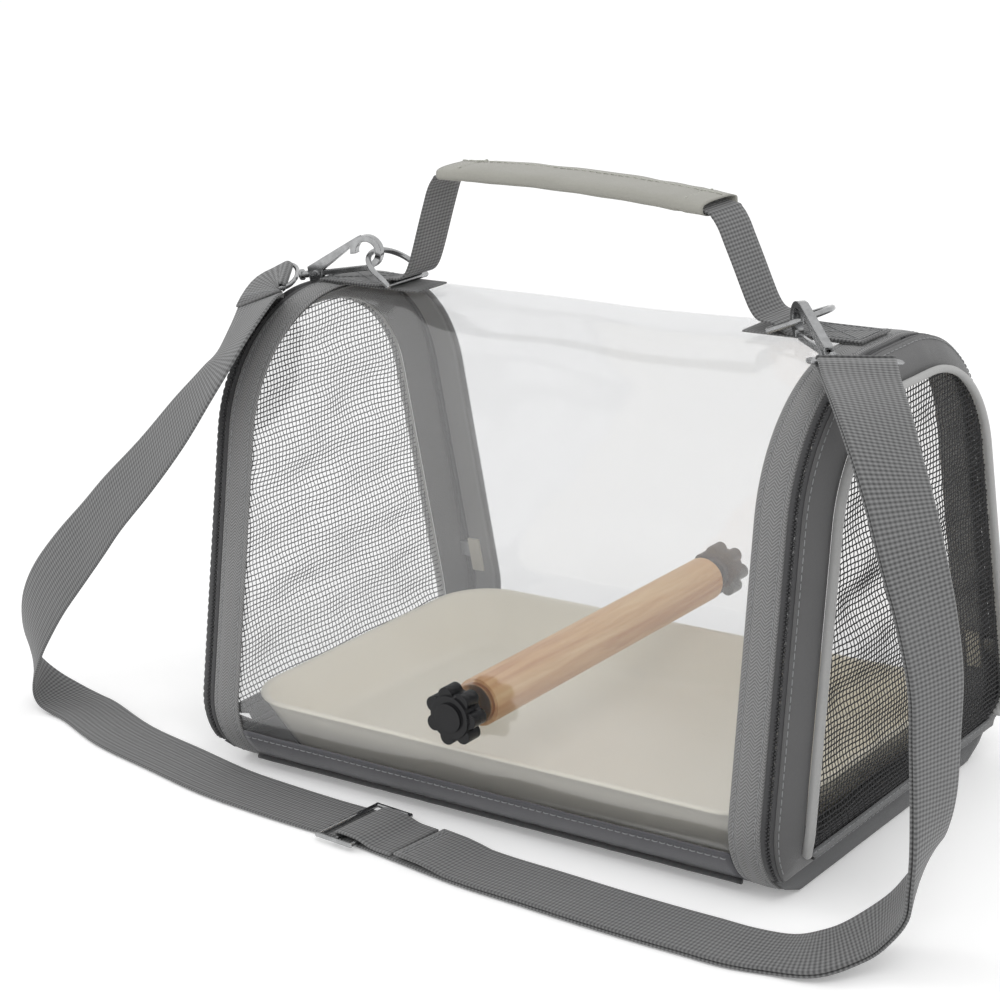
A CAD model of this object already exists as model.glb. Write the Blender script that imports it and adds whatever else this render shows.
import math
import random
import bpy
import bmesh
from mathutils import Matrix, Vector, noise


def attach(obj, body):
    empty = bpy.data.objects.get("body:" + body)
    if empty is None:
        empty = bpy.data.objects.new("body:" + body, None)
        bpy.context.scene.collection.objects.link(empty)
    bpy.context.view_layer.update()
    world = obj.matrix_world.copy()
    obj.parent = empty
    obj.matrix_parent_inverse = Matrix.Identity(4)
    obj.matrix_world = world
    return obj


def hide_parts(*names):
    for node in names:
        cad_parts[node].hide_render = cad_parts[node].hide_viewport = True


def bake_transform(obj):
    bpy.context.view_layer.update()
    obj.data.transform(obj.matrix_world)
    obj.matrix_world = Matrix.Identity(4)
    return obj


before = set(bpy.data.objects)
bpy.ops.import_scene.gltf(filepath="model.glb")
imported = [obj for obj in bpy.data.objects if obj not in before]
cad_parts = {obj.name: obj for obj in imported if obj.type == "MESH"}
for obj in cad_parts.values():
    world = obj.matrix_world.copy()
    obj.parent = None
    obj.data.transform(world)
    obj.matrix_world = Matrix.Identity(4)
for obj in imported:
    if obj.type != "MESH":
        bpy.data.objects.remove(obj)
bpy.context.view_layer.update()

MM = 0.001
RND = random.Random(7)

# ------------------------------------------------------------------ camera
back = Vector((0.5705, -0.7667, 0.2943))
right = Vector((0.8092, 0.5860, -0.0421))
up = Vector((-0.1401, 0.2622, 0.9548))
cam_data = bpy.data.cameras.new("cam")
cam_data.lens = 91.51
cam_data.sensor_width = 36.0
cam_data.clip_end = 30.0
cam = bpy.data.objects.new("cam", cam_data)
bpy.context.scene.collection.objects.link(cam)
rot = Matrix((right, up, back)).transposed().to_4x4()
cam.matrix_world = Matrix.Translation(Vector((0.7493, -1.0921, 0.5603))) @ rot
bpy.context.scene.camera = cam

# ------------------------------------------------------------------ sizes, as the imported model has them
BODY_H = 258.0
CORNER_Y, CORNER_R = 86.0, 39.0
CROWN_Y, CROWN_R = 14.0, 84.0
CROWN_Z = BODY_H - CROWN_R
ZIP_X = 180.0
RIM_X0, RIM_X1 = 158.1, 176.1
FOLD_Z = 14.0
DOOR_INSET = 17.0
run = (CROWN_Y - CORNER_Y, CROWN_Z - CORNER_R)
SIDE_A = math.atan2(run[1], run[0]) - math.acos((CORNER_R - CROWN_R) / math.hypot(*run))
RAMP_H = CORNER_R + (CORNER_R - DOOR_INSET) * math.sin(SIDE_A) - FOLD_Z
SIDE_DIR = (-math.sin(SIDE_A), math.cos(SIDE_A))
SIDE_START = (CORNER_Y + CORNER_R * math.cos(SIDE_A), CORNER_R + CORNER_R * math.sin(SIDE_A))


def link(obj):
    bpy.context.scene.collection.objects.link(obj)
    return obj


def mesh_obj(name, verts, faces, smooth=True, scale=MM):
    me = bpy.data.meshes.new(name)
    me.from_pydata([Vector(v) * scale for v in verts], [], faces)
    me.validate()
    if smooth:
        me.polygons.foreach_set("use_smooth", [True] * len(me.polygons))
    me.update()
    return link(bpy.data.objects.new(name, me))


def arch_line(step=3.0, closed=True, low=None):
    """Points of the outer arch: (y, z, ny, nz, s). Starts at the bottom, +y side, goes over the crown."""
    pts = []

    def arc(cy, cz, r, a0, a1):
        n = max(2, int(abs(a1 - a0) * r / step))
        for i in range(n + 1):
            a = a0 + (a1 - a0) * i / n
            pts.append((cy, cz, r, math.cos(a), math.sin(a)))
    a_low = -math.pi / 2 if low is None else low
    arc(CORNER_Y, CORNER_R, CORNER_R, a_low, SIDE_A)
    n = int(math.hypot(*run) / step)
    for i in range(1, n):
        f = i / n
        r = CORNER_R + (CROWN_R - CORNER_R) * f
        cy = CORNER_Y + (CROWN_Y - CORNER_Y) * f
        cz = CORNER_R + (CROWN_Z - CORNER_R) * f
        pts.append((cy, cz, r, math.cos(SIDE_A), math.sin(SIDE_A)))
    arc(CROWN_Y, CROWN_Z, CROWN_R, SIDE_A, math.pi / 2)
    half = [(cy + r * c, cz + r * s, c, s) for cy, cz, r, c, s in pts]
    line = half + [(-y, z, -c, s) for y, z, c, s in half[::-1]]
    if closed:
        # the flat base, from -y back to +y
        n = int(2 * CORNER_Y / (step * 2))
        for i in range(1, n):
            line.append((-CORNER_Y + 2 * CORNER_Y * i / n, 0.0, 0.0, -1.0))
    out = []
    s = 0.0
    last = None
    for y, z, c, d in line:
        if last is not None:
            ds = math.hypot(y - last[0], z - last[1])
            if ds < 1e-4:
                continue
            s += ds
        out.append((y, z, c, d, s))
        last = (y, z)
    return out


def at_inset(p, inset):
    return (p[0] - p[2] * inset, p[1] - p[3] * inset)


def sweep_arch(name, profile, line, closed, side=1, close_profile=True, wobble=None):
    """profile: (x, inset) points in order; swept along the arch."""
    verts = []
    n = len(profile)
    for j, p in enumerate(line):
        for k, (x, inset) in enumerate(profile):
            dx, dn = wobble(p, x, inset) if wobble else (0, 0)
            y, z = at_inset(p, inset + dn)
            verts.append((side * (x + dx), y, z))
    m = len(line)
    faces = []
    for j in range(m if closed else m - 1):
        for k in range(n if close_profile else n - 1):
            a = j * n + k
            b = j * n + (k + 1) % n
            c = ((j + 1) % m) * n + (k + 1) % n
            d = ((j + 1) % m) * n + k
            faces.append((a, b, c, d) if side > 0 else (d, c, b, a))
    if not closed and close_profile:
        faces.append(tuple(range(n - 1, -1, -1)) if side > 0 else tuple(range(n)))
        faces.append(tuple((m - 1) * n + k for k in range(n)) if side > 0
                     else tuple((m - 1) * n + k for k in range(n - 1, -1, -1)))
    return mesh_obj(name, verts, faces)


def tube(name, pts, r, sides=8, closed=False, cap=True, radii=None):
    """A round tube along 3D points in mm, as vertex and face lists when name is None."""
    pts = [Vector(p) for p in pts]
    m = len(pts)
    tang = []
    for i in range(m):
        a = pts[(i - 1) % m] if closed or i > 0 else pts[0]
        b = pts[(i + 1) % m] if closed or i < m - 1 else pts[-1]
        tang.append((b - a).normalized())
    ref = Vector((0, 0, 1)) if abs(tang[0].z) < 0.9 else Vector((1, 0, 0))
    n0 = (ref - tang[0] * ref.dot(tang[0])).normalized()
    verts, faces = [], []
    for i in range(m):
        n0 = (n0 - tang[i] * n0.dot(tang[i])).normalized()
        b0 = tang[i].cross(n0)
        rr = radii[i] if radii else r
        for k in range(sides):
            a = 2 * math.pi * k / sides
            verts.append(pts[i] + (n0 * math.cos(a) + b0 * math.sin(a)) * rr)
    for i in range(m if closed else m - 1):
        for k in range(sides):
            a, b = i * sides + k, i * sides + (k + 1) % sides
            c, d = ((i + 1) % m) * sides + (k + 1) % sides, ((i + 1) % m) * sides + k
            faces.append((a, b, c, d))
    if not closed and cap:
        faces.append(tuple(range(sides - 1, -1, -1)))
        faces.append(tuple((m - 1) * sides + k for k in range(sides)))
    if name is None:
        return verts, faces
    return mesh_obj(name, verts, faces)


class Bag:
    """Collects many small pieces into one mesh."""

    def __init__(self):
        self.v, self.f = [], []

    def add(self, verts, faces):
        o = len(self.v)
        self.v += list(verts)
        self.f += [tuple(i + o for i in f) for f in faces]

    def done(self, name, smooth=True):
        return mesh_obj(name, self.v, self.f, smooth)


def smooth_path(pts, per=6):
    """Catmull-Rom through points (tuples of any length)."""
    pts = [Vector(p) if len(p) == 3 else p for p in pts]
    out = []
    n = len(pts)

    def get(i):
        return pts[max(0, min(n - 1, i))]
    for i in range(n - 1):
        p0, p1, p2, p3 = get(i - 1), get(i), get(i + 1), get(i + 2)
        for k in range(per):
            t = k / per
            out.append(tuple(0.5 * (2 * b + (c - a) * t + (2 * a - 5 * b + 4 * c - d) * t * t
                                    + (3 * b - a - 3 * c + d) * t ** 3) for a, b, c, d in zip(p0, p1, p2, p3)))
    out.append(tuple(pts[-1]))
    return out


def stitches(path, normals, name, length=3.0, gap=1.6, r=0.32, lift=0.12, bag=None):
    """Thread stitches along a path of 3D points in mm, each a short arched capsule."""
    own = bag is None
    bag = bag or Bag()
    pts = [Vector(p) for p in path]
    nrm = [Vector(n) for n in normals]
    pos, i, out = 0.0, 0, []
    s = [0.0]
    for a, b in zip(pts, pts[1:]):
        s.append(s[-1] + (b - a).length)

    def at(d):
        lo, hi = 0, len(s) - 1
        while hi - lo > 1:
            mid = (lo + hi) // 2
            if s[mid] <= d:
                lo = mid
            else:
                hi = mid
        f = (d - s[lo]) / max(1e-9, s[hi] - s[lo])
        return pts[lo].lerp(pts[hi], f), nrm[lo].lerp(nrm[hi], f).normalized()
    d = gap
    while d + length < s[-1]:
        a, na = at(d)
        m, nm = at(d + length / 2)
        b, nb = at(d + length)
        line = [a - na * 0.25, a + na * lift * 0.8, m + nm * (lift + 0.12), b + nb * lift * 0.8, b - nb * 0.25]
        v, f = tube(None, line, r, 6, radii=[r * 0.7, r, r * 1.05, r, r * 0.7])
        bag.add(v, f)
        d += length + gap
    return bag.done(name) if own else bag


# ------------------------------------------------------------------ materials
def mat(name):
    m = bpy.data.materials.new(name)
    m.use_nodes = True
    nt = m.node_tree
    nt.nodes.clear()
    out = nt.nodes.new("ShaderNodeOutputMaterial")
    return m, nt, out


def node(nt, kind, **kw):
    n = nt.nodes.new(kind)
    for k, v in kw.items():
        if k.startswith("in_"):
            n.inputs[k[3:].replace("_", " ")].default_value = v
        else:
            setattr(n, k, v)
    return n


def principled(nt, out, color, rough=0.6, metallic=0.0, spec=0.4, sheen=0.0):
    b = nt.nodes.new("ShaderNodeBsdfPrincipled")
    b.inputs["Base Color"].default_value = (*color, 1)
    b.inputs["Roughness"].default_value = rough
    b.inputs["Metallic"].default_value = metallic
    b.inputs["Specular IOR Level"].default_value = spec
    if sheen:
        b.inputs["Sheen Weight"].default_value = sheen
        b.inputs["Sheen Roughness"].default_value = 0.5
    nt.links.new(b.outputs["BSDF"], out.inputs["Surface"])
    return b


def math_node(nt, op, a, b=None, c=None):
    n = nt.nodes.new("ShaderNodeMath")
    n.operation = op
    for i, v in enumerate((a, b, c)):
        if v is None:
            continue
        if isinstance(v, (int, float)):
            n.inputs[i].default_value = v
        else:
            nt.links.new(v, n.inputs[i])
    return n.outputs[0]


def mix_color(nt, fac, a, b):
    n = nt.nodes.new("ShaderNodeMix")
    n.data_type = "RGBA"
    if isinstance(fac, (int, float)):
        n.inputs[0].default_value = fac
    else:
        nt.links.new(fac, n.inputs[0])
    for sock, v in ((n.inputs[6], a), (n.inputs[7], b)):
        if isinstance(v, tuple):
            sock.default_value = (*v, 1)
        else:
            nt.links.new(v, sock)
    return n.outputs[2]


def woven(name, color, pitch=0.9, rough=0.82, contrast=0.35, bump=0.35, twill=False, uv=True, ribs=False,
          sheen=0.25):
    """Woven cloth. With uv, the map's u and v are millimetres along and across the piece."""
    m, nt, out = mat(name)
    b = principled(nt, out, color, rough, 0, 0.25, sheen)
    if uv:
        src = node(nt, "ShaderNodeUVMap").outputs[0]
    else:
        src = node(nt, "ShaderNodeTexCoord").outputs["Object"]
    sep = node(nt, "ShaderNodeSeparateXYZ")
    nt.links.new(src, sep.inputs[0])
    k = 1.0 if uv else 1000.0
    if uv:
        u, v = sep.outputs[0], sep.outputs[1]
    else:
        u = math_node(nt, "ADD", sep.outputs[0], math_node(nt, "MULTIPLY", sep.outputs[1], 0.35))
        v = math_node(nt, "ADD", sep.outputs[2], math_node(nt, "MULTIPLY", sep.outputs[1], 0.9))
    w = 2 * math.pi * k / pitch
    if ribs:
        su = math_node(nt, "SINE", math_node(nt, "MULTIPLY", u, w))
        sv = math_node(nt, "SINE", math_node(nt, "MULTIPLY", v, w * 0.72))
        h = math_node(nt, "ADD", math_node(nt, "MULTIPLY", su, 0.62), math_node(nt, "MULTIPLY", sv, 0.38))
    elif twill:
        tri = math_node(nt, "PINGPONG", v, 3.0 / k)
        su = math_node(nt, "SINE", math_node(nt, "MULTIPLY", math_node(nt, "ADD", u, tri), w * 0.75))
        sv = math_node(nt, "SINE", math_node(nt, "MULTIPLY", v, w * 1.7))
        h = math_node(nt, "ADD", math_node(nt, "MULTIPLY", su, 0.75), math_node(nt, "MULTIPLY", sv, 0.2))
    else:
        su = math_node(nt, "SINE", math_node(nt, "MULTIPLY", u, w))
        sv = math_node(nt, "SINE", math_node(nt, "MULTIPLY", v, w))
        h = math_node(nt, "MULTIPLY", su, sv)
    h01 = math_node(nt, "MULTIPLY_ADD", h, 0.5, 0.5)
    big = node(nt, "ShaderNodeTexNoise", in_Scale=38.0, in_Detail=3.0)
    nt.links.new(node(nt, "ShaderNodeTexCoord").outputs["Object"], big.inputs["Vector"])
    fine = node(nt, "ShaderNodeTexNoise", in_Scale=900.0, in_Detail=2.0)
    nt.links.new(node(nt, "ShaderNodeTexCoord").outputs["Object"], fine.inputs["Vector"])
    dark = tuple(c * (1 - contrast) for c in color)
    light = tuple(min(1, c * (1 + contrast * 0.8)) for c in color)
    col = mix_color(nt, h01, dark, light)
    col = mix_color(nt, math_node(nt, "MULTIPLY", big.outputs["Fac"], 0.22), col, tuple(c * 1.5 for c in color))
    col = mix_color(nt, math_node(nt, "MULTIPLY", fine.outputs["Fac"], 0.25), col, tuple(c * 0.55 for c in color))
    nt.links.new(col, b.inputs["Base Color"])
    hh = math_node(nt, "ADD", h01, math_node(nt, "MULTIPLY", fine.outputs["Fac"], 0.4))
    bp = node(nt, "ShaderNodeBump", in_Strength=bump, in_Distance=0.0003)
    nt.links.new(hh, bp.inputs["Height"])
    nt.links.new(bp.outputs[0], b.inputs["Normal"])
    nt.links.new(math_node(nt, "MULTIPLY_ADD", fine.outputs["Fac"], 0.15, rough - 0.07), b.inputs["Roughness"])
    return m


def plastic(name, color, rough=0.4, bump=0.05, scale=700.0, mottle=0.06, wear=0.0, spec=0.45):
    m, nt, out = mat(name)
    b = principled(nt, out, color, rough, 0, spec)
    co = node(nt, "ShaderNodeTexCoord").outputs["Object"]
    n1 = node(nt, "ShaderNodeTexNoise", in_Scale=22.0, in_Detail=4.0)
    n2 = node(nt, "ShaderNodeTexNoise", in_Scale=scale, in_Detail=2.0)
    nt.links.new(co, n1.inputs["Vector"])
    nt.links.new(co, n2.inputs["Vector"])
    col = mix_color(nt, math_node(nt, "MULTIPLY", n1.outputs["Fac"], mottle * 4),
                    color, tuple(c * 0.86 for c in color))
    nt.links.new(col, b.inputs["Base Color"])
    nt.links.new(math_node(nt, "MULTIPLY_ADD", n1.outputs["Fac"], 0.16, rough - 0.08), b.inputs["Roughness"])
    bev = node(nt, "ShaderNodeBevel", in_Radius=0.0006)
    bp = node(nt, "ShaderNodeBump", in_Strength=bump, in_Distance=0.0002)
    nt.links.new(n2.outputs["Fac"], bp.inputs["Height"])
    nt.links.new(bev.outputs[0], bp.inputs["Normal"])
    nt.links.new(bp.outputs[0], b.inputs["Normal"])
    return m


def metal(name, color=(0.50, 0.505, 0.51), rough=0.14, scale=260.0, bevel=0.0009):
    m, nt, out = mat(name)
    b = principled(nt, out, color, rough, 1.0, 0.5)
    co = node(nt, "ShaderNodeTexCoord").outputs["Object"]
    n1 = node(nt, "ShaderNodeTexNoise", in_Scale=scale, in_Detail=4.0)
    nt.links.new(co, n1.inputs["Vector"])
    nt.links.new(math_node(nt, "MULTIPLY_ADD", n1.outputs["Fac"], 0.18, rough - 0.06), b.inputs["Roughness"])
    col = mix_color(nt, n1.outputs["Fac"], color, tuple(c * 0.5 for c in color))
    nt.links.new(col, b.inputs["Base Color"])
    bev = node(nt, "ShaderNodeBevel", in_Radius=bevel)
    bp = node(nt, "ShaderNodeBump", in_Strength=0.08, in_Distance=0.0002)
    nt.links.new(n1.outputs["Fac"], bp.inputs["Height"])
    nt.links.new(bev.outputs[0], bp.inputs["Normal"])
    nt.links.new(bp.outputs[0], b.inputs["Normal"])
    return m


def wood(name):
    m, nt, out = mat(name)
    b = principled(nt, out, (0.74, 0.50, 0.27), 0.5, 0, 0.3)
    co = node(nt, "ShaderNodeTexCoord").outputs["Object"]
    mp = node(nt, "ShaderNodeMapping")
    mp.inputs["Scale"].default_value = (60, 3.2, 60)
    nt.links.new(co, mp.inputs["Vector"])
    n1 = node(nt, "ShaderNodeTexNoise", in_Scale=2.2, in_Detail=6.0, in_Roughness=0.62, in_Distortion=0.5)
    nt.links.new(mp.outputs[0], n1.inputs["Vector"])
    mp2 = node(nt, "ShaderNodeMapping")
    mp2.inputs["Scale"].default_value = (420, 14, 420)
    nt.links.new(co, mp2.inputs["Vector"])
    n2 = node(nt, "ShaderNodeTexNoise", in_Scale=2.0, in_Detail=4.0)
    nt.links.new(mp2.outputs[0], n2.inputs["Vector"])
    ramp = node(nt, "ShaderNodeValToRGB")
    e = ramp.color_ramp.elements
    e[0].position, e[0].color = 0.34, (0.56, 0.26, 0.095, 1)
    e[1].position, e[1].color = 0.64, (0.82, 0.56, 0.29, 1)
    mid = e.new(0.5)
    mid.color = (0.73, 0.44, 0.20, 1)
    nt.links.new(n1.outputs["Fac"], ramp.inputs[0])
    col = mix_color(nt, math_node(nt, "MULTIPLY", n2.outputs["Fac"], 0.38), ramp.outputs[0], (0.60, 0.36, 0.18))
    nt.links.new(col, b.inputs["Base Color"])
    bp = node(nt, "ShaderNodeBump", in_Strength=0.2, in_Distance=0.0003)
    nt.links.new(n2.outputs["Fac"], bp.inputs["Height"])
    nt.links.new(bp.outputs[0], b.inputs["Normal"])
    return m


def clear_sheet(name):
    m, nt, out = mat(name)
    tr = node(nt, "ShaderNodeBsdfTransparent")
    tr.inputs[0].default_value = (0.945, 0.946, 0.948, 1)
    co = node(nt, "ShaderNodeTexCoord").outputs["Object"]
    n1 = node(nt, "ShaderNodeTexNoise", in_Scale=9.0, in_Detail=2.0)
    nt.links.new(co, n1.inputs["Vector"])
    bp = node(nt, "ShaderNodeBump", in_Strength=0.35, in_Distance=0.004)
    nt.links.new(n1.outputs["Fac"], bp.inputs["Height"])
    gl = node(nt, "ShaderNodeBsdfGlossy")
    gl.inputs["Roughness"].default_value = 0.12
    gl.inputs["Color"].default_value = (1, 1, 1, 1)
    nt.links.new(bp.outputs[0], gl.inputs["Normal"])
    di = node(nt, "ShaderNodeBsdfDiffuse")
    di.inputs["Color"].default_value = (0.86, 0.87, 0.88, 1)
    haze = node(nt, "ShaderNodeMixShader")
    haze.inputs[0].default_value = 0.35
    nt.links.new(gl.outputs[0], haze.inputs[1])
    nt.links.new(di.outputs[0], haze.inputs[2])
    mx = node(nt, "ShaderNodeMixShader")
    mx.inputs[0].default_value = 0.10
    nt.links.new(tr.outputs[0], mx.inputs[1])
    nt.links.new(haze.outputs[0], mx.inputs[2])
    nt.links.new(mx.outputs[0], out.inputs["Surface"])
    return m


GREY = (0.145, 0.148, 0.150)
M_BIND = woven("binding_cloth", (0.225, 0.225, 0.225), pitch=1.3, twill=True, contrast=0.62, bump=0.7)
M_CLOTH = woven("plain_cloth", (0.125, 0.127, 0.130), pitch=0.8, contrast=0.25)
M_GUSSET = woven("gusset_cloth", (0.138, 0.138, 0.139), pitch=0.8, contrast=0.3)
M_PIPING = woven("piping_cloth", (0.42, 0.42, 0.415), pitch=0.7, contrast=0.18, bump=0.2)
M_WEB = woven("webbing", (0.158, 0.159, 0.160), pitch=2.1, ribs=True, contrast=0.78, bump=0.9)
M_WEB_DARK = woven("webbing_dark", (0.095, 0.097, 0.10), pitch=1.9, ribs=True, contrast=0.4, bump=0.7)
M_GRIP = woven("grip_cloth", (0.345, 0.34, 0.305), pitch=0.75, contrast=0.14, bump=0.25)
M_MESH = plastic("mesh_yarn", (0.055, 0.055, 0.057), rough=0.7, bump=0.1, spec=0.2)
M_ZIP = woven("zip_tape", (0.062, 0.062, 0.064), pitch=0.7, contrast=0.3)
M_COIL = plastic("zip_coil", (0.045, 0.045, 0.047), rough=0.45)
M_THREAD = plastic("thread", (0.30, 0.305, 0.31), rough=0.7, bump=0.2)
M_THREAD_GRIP = plastic("thread_grip", (0.52, 0.53, 0.47), rough=0.7, bump=0.2)
M_TAB = woven("end_tab", (0.58, 0.55, 0.47), pitch=0.7, contrast=0.15)
M_BOARD = woven("board_cover", (0.075, 0.076, 0.078), pitch=0.8, contrast=0.25, uv=False)
M_STEEL = metal("bright_steel")
M_ZMETAL = metal("zip_metal", (0.46, 0.46, 0.47), rough=0.3)
M_BRASS = metal("ferrule", (0.62, 0.36, 0.17), rough=0.28)
M_WOOD = wood("perch_wood")
M_KNOB = plastic("knob_plastic", (0.008, 0.008, 0.009), rough=0.26, bump=0.08, scale=500, spec=0.28)
M_RUBBER = plastic("rubber", (0.05, 0.05, 0.052), rough=0.7)
M_TRAY = plastic("tray_plastic", (0.83, 0.785, 0.66), rough=0.42, bump=0.06, scale=500, mottle=0.05)
M_WINDOW = clear_sheet("clear_window")


def paint(obj, m):
    obj.data.materials.clear()
    obj.data.materials.append(m)
    return obj


def uv_mm(obj, fn):
    """Gives each vertex a map position in mm from fn(vertex index)."""
    me = obj.data
    layer = me.uv_layers.new(name="mm")
    for lp in me.loops:
        layer.data[lp.index].uv = fn(lp.vertex_index)


def uv_grid(obj, cols, rows_s, cols_t):
    uv_mm(obj, lambda i: (rows_s[i // cols % len(rows_s)], cols_t[i % cols]))


def finish_piece(obj, m, body, replaces=()):
    paint(obj, m)
    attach(obj, body)
    if replaces:
        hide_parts(*replaces)
    return obj


# ------------------------------------------------------------------ shoulder strap
STRAP_W, PLY_T = 38.0, 1.5
# Each row: a point on the middle of the strap in metres, and the direction across it
LEFT_ROUTE = [
    (-.1908, -.0272, .261, -.55, .82, .12), (-.19, -.04, .257, -.93, .36, 0),
    (-.178, -.066, .252, -.86, -.08, -.5), (-.174, -.09, .238, -.88, .3, -.37),
    (-.179, -.106, .221, -.79, .6, .13), (-.198, -.113, .196, -.68, .56, .47),
    (-.222, -.116, .17, -.65, .5, .57), (-.248, -.118, .145, -.66, .42, .63),
    (-.265, -.119, .127, -.68, .34, .65), (-.287, -.119, .105, -.7, .22, .68),
    (-.307, -.118, .084, -.73, .19, .65), (-.321, -.116, .066, -.82, .26, .51),
    (-.331, -.113, .049, -.85, .42, .32), (-.338, -.108, .034, -.8, .58, .15),
    (-.341, -.103, .021, -.62, .78, .05), (-.338, -.099, .011, -.35, .93, 0),
    (-.329, -.097, .0045, -.05, 1, 0), (-.316, -.0975, .0016, .12, .99, 0)]
FLOOR_ROUTE = [
    (-.300, -.101, .001, .2, .98, 0), (-.256, -.118, .001, .27, .96, 0), (-.206, -.129, .001, .21, .98, 0),
    (-.159, -.139, .001, .16, .99, 0), (-.118, -.143, .001, .08, 1, 0), (-.085, -.145, .001, .04, 1, 0),
    (-.057, -.146, .001, .09, 1, 0), (-.012, -.152, .001, .13, .99, 0), (.031, -.158, .001, .11, .99, 0),
    (.070, -.160, .001, .05, 1, 0), (.107, -.162, .001, .04, 1, 0), (.143, -.163, .001, .03, 1, 0),
    (.165, -.163, .001, -.01, 1, 0), (.187, -.163, .001, -.1, .99, 0), (.207, -.159, .001, -.16, .99, 0)]
RIGHT_ROUTE = [
    (.226, -.156, .005, -.42, .9, .07), (.239, -.145, .010, -.6, .8, .01), (.252, -.138, .021, -.43, .89, .14),
    (.263, -.138, .036, -.39, .91, .15), (.268, -.136, .050, -.2, .96, .2), (.273, -.138, .065, -.08, .99, -.06),
    (.273, -.133, .085, .06, .98, -.17), (.272, -.130, .111, .12, .99, -.09), (.271, -.128, .139, .17, .98, -.03),
    (.266, -.127, .167, .23, .97, .02), (.258, -.126, .196, .32, .95, .01), (.249, -.122, .220, .41, .9, -.12),
    (.235, -.110, .239, .57, .78, -.25), (.216, -.088, .253, .73, .65, -.2), (.1904, -.054, .2606, .79, .61, -.06)]
EYE_BAR = {"left": (-191.0, -24.0, 262.0), "right": (189.0, -52.0, 261.0)}
BUCKLE_AT = (-52.0, -148.0)
BUCKLE_TURN = math.radians(-5)


def strap_frames(rows, per=5):
    """Points in mm with unit vectors along, across and up, and the length so far."""
    line = smooth_path([tuple(c / MM for c in r[:3]) for r in rows], per)
    wide = smooth_path([tuple(r[3:]) for r in rows], per)
    out, s = [], 0.0
    for i, p in enumerate(line):
        p = Vector(p)
        a = Vector(line[max(0, i - 1)])
        b = Vector(line[min(len(line) - 1, i + 1)])
        along = (b - a).normalized()
        side = Vector(wide[i]).normalized()
        if i:
            s += (p - Vector(line[i - 1])).length
        out.append((p, along, side, along.cross(side).normalized(), s))
    return out


def ribbon(name, frames, width, t):
    """A flat band with soft selvedges; its map is millimetres along and across."""
    half = width / 2
    prof = [(-half, 0.0), (-half + 0.25, 0.38), (-half + 1.0, 0.5), (-half * 0.5, 0.5), (0, 0.5), (half * 0.5, 0.5),
            (half - 1.0, 0.5), (half - 0.25, 0.38), (half, 0.0), (half - 0.25, -0.38), (half - 1.0, -0.5),
            (half * 0.5, -0.5), (0, -0.5), (-half * 0.5, -0.5), (-half + 1.0, -0.5), (-half + 0.25, -0.38)]
    n = len(prof)
    verts, faces = [], []
    for p, along, side, up_, s in frames:
        for a, b in prof:
            verts.append(p + side * a + up_ * (b * t))
    for j in range(len(frames) - 1):
        for k in range(n):
            a, b = j * n + k, j * n + (k + 1) % n
            faces.append((a, a + n, b + n, b))
    faces.append(tuple(range(n)))
    faces.append(tuple((len(frames) - 1) * n + k for k in range(n - 1, -1, -1)))
    obj = mesh_obj(name, verts, faces)
    uv_mm(obj, lambda i: (frames[i // n][4], prof[i % n][0]))
    return obj


def moved(frames, lift):
    """The same run with each point lifted along its own up by lift(s)."""
    return [(p + up_ * lift(s), along, side, up_, s) for p, along, side, up_, s in frames]


def ease(x):
    x = max(0.0, min(1.0, x))
    return x * x * (3 - 2 * x)


def end_turn(frames, bar, at_start, sign, tail, tail_gap):
    """The webbing's end: round the bar of its ring and back along the other face."""
    run_ = frames if at_start else frames[::-1]
    p0, along, side, up_, s0 = run_[0]
    away = -along if at_start else along
    away = (away - side * away.dot(side)).normalized()
    bar = Vector(bar)
    r = 1.4 + PLY_T / 2 + 0.25
    out, d = [], 0.0
    for i in range(13):
        a = math.pi * i / 12
        radial = up_ * (sign * math.cos(a)) + away * math.sin(a)
        tangent = up_ * (-sign * math.sin(a)) + away * math.cos(a)
        out.append((bar + radial * r, tangent, side, tangent.cross(side), d))
        d += math.pi * r / 12
    for p, al, sd, u, s in run_:
        q = abs(s - s0)
        if q < 2.5:
            continue
        if q > tail:
            break
        lift = -sign * (r + (tail_gap - r) * ease(q / 18))
        al2 = al if at_start else -al
        out.append((p + u * lift, al2, sd, al2.cross(sd), d + q))
    return out


ALL_ROUTE = LEFT_ROUTE + FLOOR_ROUTE + RIGHT_ROUTE
RUN = strap_frames(ALL_ROUTE)
RUN_L = RUN[-1][4]
LOOP_R = 1.4 + PLY_T / 2 + 0.25
single = moved(RUN, lambda s: LOOP_R * (1 - ease(s / 20)) - LOOP_R * ease((s - RUN_L + 18) / 18))
strap = ribbon("strap_webbing", single, STRAP_W, PLY_T)
turn_left = ribbon("strap_end_left", end_turn(RUN, EYE_BAR["left"], True, 1, 36, 1.75), STRAP_W, PLY_T)

# the second ply: from the right-hand ring down to the buckle
PLY_LIFT = 2.0
buckle_x = Vector((math.cos(BUCKLE_TURN), math.sin(BUCKLE_TURN)))


def buckle_side(p):
    return (Vector((p.x, p.y)) - Vector(BUCKLE_AT)).dot(buckle_x)


def second_lift(p, s):
    d = buckle_side(p) if p.z < 4 and s < RUN_L * 0.8 else 999
    over_tail = 1.75 * (1 - ease((d - 60) / 16))
    return PLY_LIFT + over_tail + (LOOP_R - PLY_LIFT) * ease((s - RUN_L + 18) / 18)


second = [(p + u * second_lift(p, s), al, sd, u, s) for p, al, sd, u, s in RUN
          if s > 500 and (p.z > 4 or buckle_side(p) > 40)]
ply = ribbon("strap_second_ply", second, STRAP_W, PLY_T)
r_turn = end_turn(RUN, EYE_BAR["right"], False, 1, 4, 1.75)[:13]
turn_right = ribbon("strap_end_right", r_turn, STRAP_W, PLY_T)


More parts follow.
